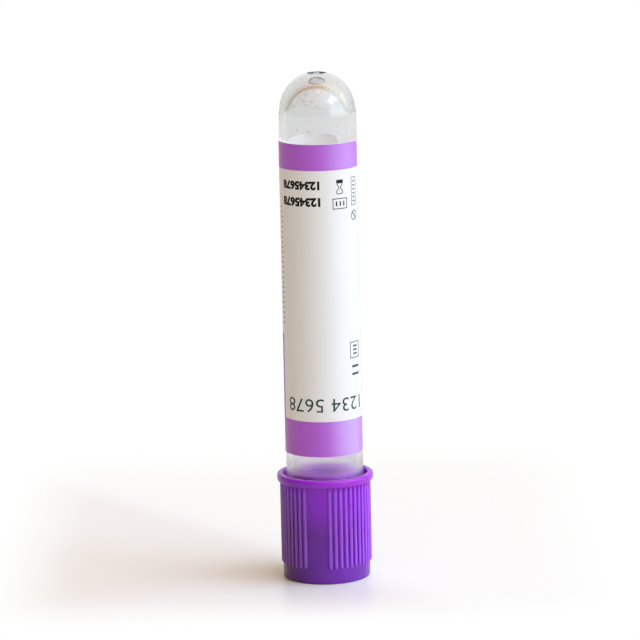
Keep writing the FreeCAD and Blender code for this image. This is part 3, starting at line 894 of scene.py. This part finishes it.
ROOM = [
    # angle from -Y towards +X, elevation, cosine of the angle where it ends, colour
    (180, 10, 0.3, (0.81, 0.85, 0.87)), (225, 10, 0.3, (0.21, 0.08, 0.00)),
    (215, 20, 0.85, (0.04, 0.18, 0.13)), (140, 20, 0.85, (0.44, 0.39, 0.38)),
    (0, 46, 0.3, (0.42, 0.31, 0.00)), (45, 46, 0.3, (0.81, 0.83, 0.80)), (90, 46, 0.3, (1.02, 1.03, 0.75)),
    (48, 40, 0.6, (0.15, 0.45, 1.27)), (0, 90, 0.3, (0.54, 0.18, 0.04)),
]
# Rays that have passed through the tube meet this much of a pale wall.
THROUGH_SHARE = 0.45
THROUGH_COLOUR = (0.80, 0.82, 0.83)


def direction(turn, rise):
    """The unit vector at an angle from -Y towards +X and an elevation, both in degrees."""
    turn, rise = math.radians(turn), math.radians(rise)
    return math.sin(turn) * math.cos(rise), -math.cos(turn) * math.cos(rise), math.sin(rise)


world = bpy.data.worlds.new("room")
bpy.context.scene.world = world
world.use_nodes = True
tree = world.node_tree
tree.nodes.clear()
where = Socket(tree, tree.nodes.new("ShaderNodeTexCoord").outputs["Generated"])
total = None
for turn, rise, edge, colour in ROOM:
    facing = where.vector("DOT_PRODUCT", direction(turn, rise), "Value")
    lobe = ((facing - edge) / (1 - edge)).at_least(0.0) ** 2.0
    glow = where.wrap(where.node("VectorMath", {0: colour, "Scale": lobe}, operation="SCALE"))
    total = total.vector("ADD", glow) if total else glow
light_path = where.node("LightPath")
room = (THROUGH_SHARE * where.wrap(light_path, "Is Transmission Ray")).mix(total, THROUGH_COLOUR)
around = where.node("Background", {"Color": room, "Strength": 1.0})
white = where.node("Background", {"Color": (1, 1, 1, 1), "Strength": 1.0})
blend = where.node("MixShader", {0: where.wrap(light_path, "Is Camera Ray")})
tree.links.new(around.outputs[0], blend.inputs[1])
tree.links.new(white.outputs[0], blend.inputs[2])
tree.links.new(blend.outputs[0], where.node("OutputWorld").inputs["Surface"])

# The window's lamps. The sky through it lights everything, and its glass shows as one bright rectangle in
# what is glossy. The cap's plastic takes more of its light, and the print's varnish a broad sheen from it.
LAMP_LEVEL = 0.045
PANES = [
    # name, angle from -Y towards +X, elevation, distance, width, height, watts, colour, mirrors, only on
    ("sky_through_window", 84, 55, 0.9, 0.80, 0.70, 16.4, (0.45, 0.68, 1.0), False, None),
    ("window_glass", 73, 19, 0.9, 1.15, 0.64, 4.8, (0.76, 0.92, 1.0), True, None),
    ("window_on_cap", 56, 24, 0.9, 1.00, 0.50, 18.5, (0.75, 0.30, 1.0), False, safety_cap),
    ("window_on_print", 100, 9, 0.9, 0.60, 0.30, 3.6, (0.50, 1.0, 0.60), True, purple_print),
]


def window_lamp(name, place, facing, sizes, watts, tint, mirrors, only_on):
    """A rectangular lamp. It either lights or shows in gloss, on everything or only on one piece."""
    pane = bpy.data.lights.new(name, "AREA")
    pane.shape = "RECTANGLE"
    pane.size, pane.size_y = sizes
    pane.energy = watts
    pane.color = tint
    lamp = bpy.data.objects.new(name, pane)
    lamp.location = place
    lamp.rotation_euler = facing
    lamp.visible_glossy = mirrors
    lamp.visible_diffuse = not mirrors
    if only_on:
        lit = bpy.data.collections.new(name + "_lights")
        lit.objects.link(only_on)
        lamp.light_linking.receiver_collection = lit
    bpy.context.scene.collection.objects.link(lamp)


for name, turn, rise, reach, width, height, watts, tint, mirrors, only_on in PANES:
    turn = math.radians(turn)
    level = LAMP_LEVEL + reach * math.tan(math.radians(rise))
    place = (reach * math.sin(turn), -reach * math.cos(turn), level)
    window_lamp(name, place, (math.pi / 2, 0, turn), (width, height), watts, tint, mirrors, only_on)

# The bright paper to the right, as the print's varnish mirrors it.
PAPER_TURN = math.radians(72)
PAPER_REACH = 0.13
PAPER_LEVEL = 0.002
PAPER_SIZES = (0.16, 0.16)
PAPER_WATTS = 0.54
PAPER_TINT = (0.36, 1.0, 0.46)
place = (PAPER_REACH * math.sin(PAPER_TURN), -PAPER_REACH * math.cos(PAPER_TURN), PAPER_LEVEL)
facing = (math.pi, 0, PAPER_TURN)
window_lamp("paper_on_print", place, facing, PAPER_SIZES, PAPER_WATTS, PAPER_TINT, True, purple_print)

CAMERA_PLACE = Vector((0.0, -0.72933, 0.18371))
PITCH = 0.1895
YAW = -0.0004
ROLL = -0.0216
FOCAL_LENGTH = 249.5
camera_data = bpy.data.cameras.new("camera")
camera_data.lens = FOCAL_LENGTH
camera_data.clip_start = 0.01
camera = bpy.data.objects.new("camera", camera_data)
forward = Vector((math.sin(YAW) * math.cos(PITCH), math.cos(YAW) * math.cos(PITCH), -math.sin(PITCH)))
level = Vector((math.cos(YAW), -math.sin(YAW), 0.0))
upright = level.cross(forward)
right = math.cos(ROLL) * level + math.sin(ROLL) * upright
top = math.cos(ROLL) * upright - math.sin(ROLL) * level
turned_to = Matrix((right, top, -forward)).transposed().to_4x4()
camera.matrix_world = Matrix.Translation(CAMERA_PLACE) @ turned_to
bpy.context.scene.collection.objects.link(camera)
bpy.context.scene.camera = camera
bpy.context.scene.view_settings.view_transform = "Standard"
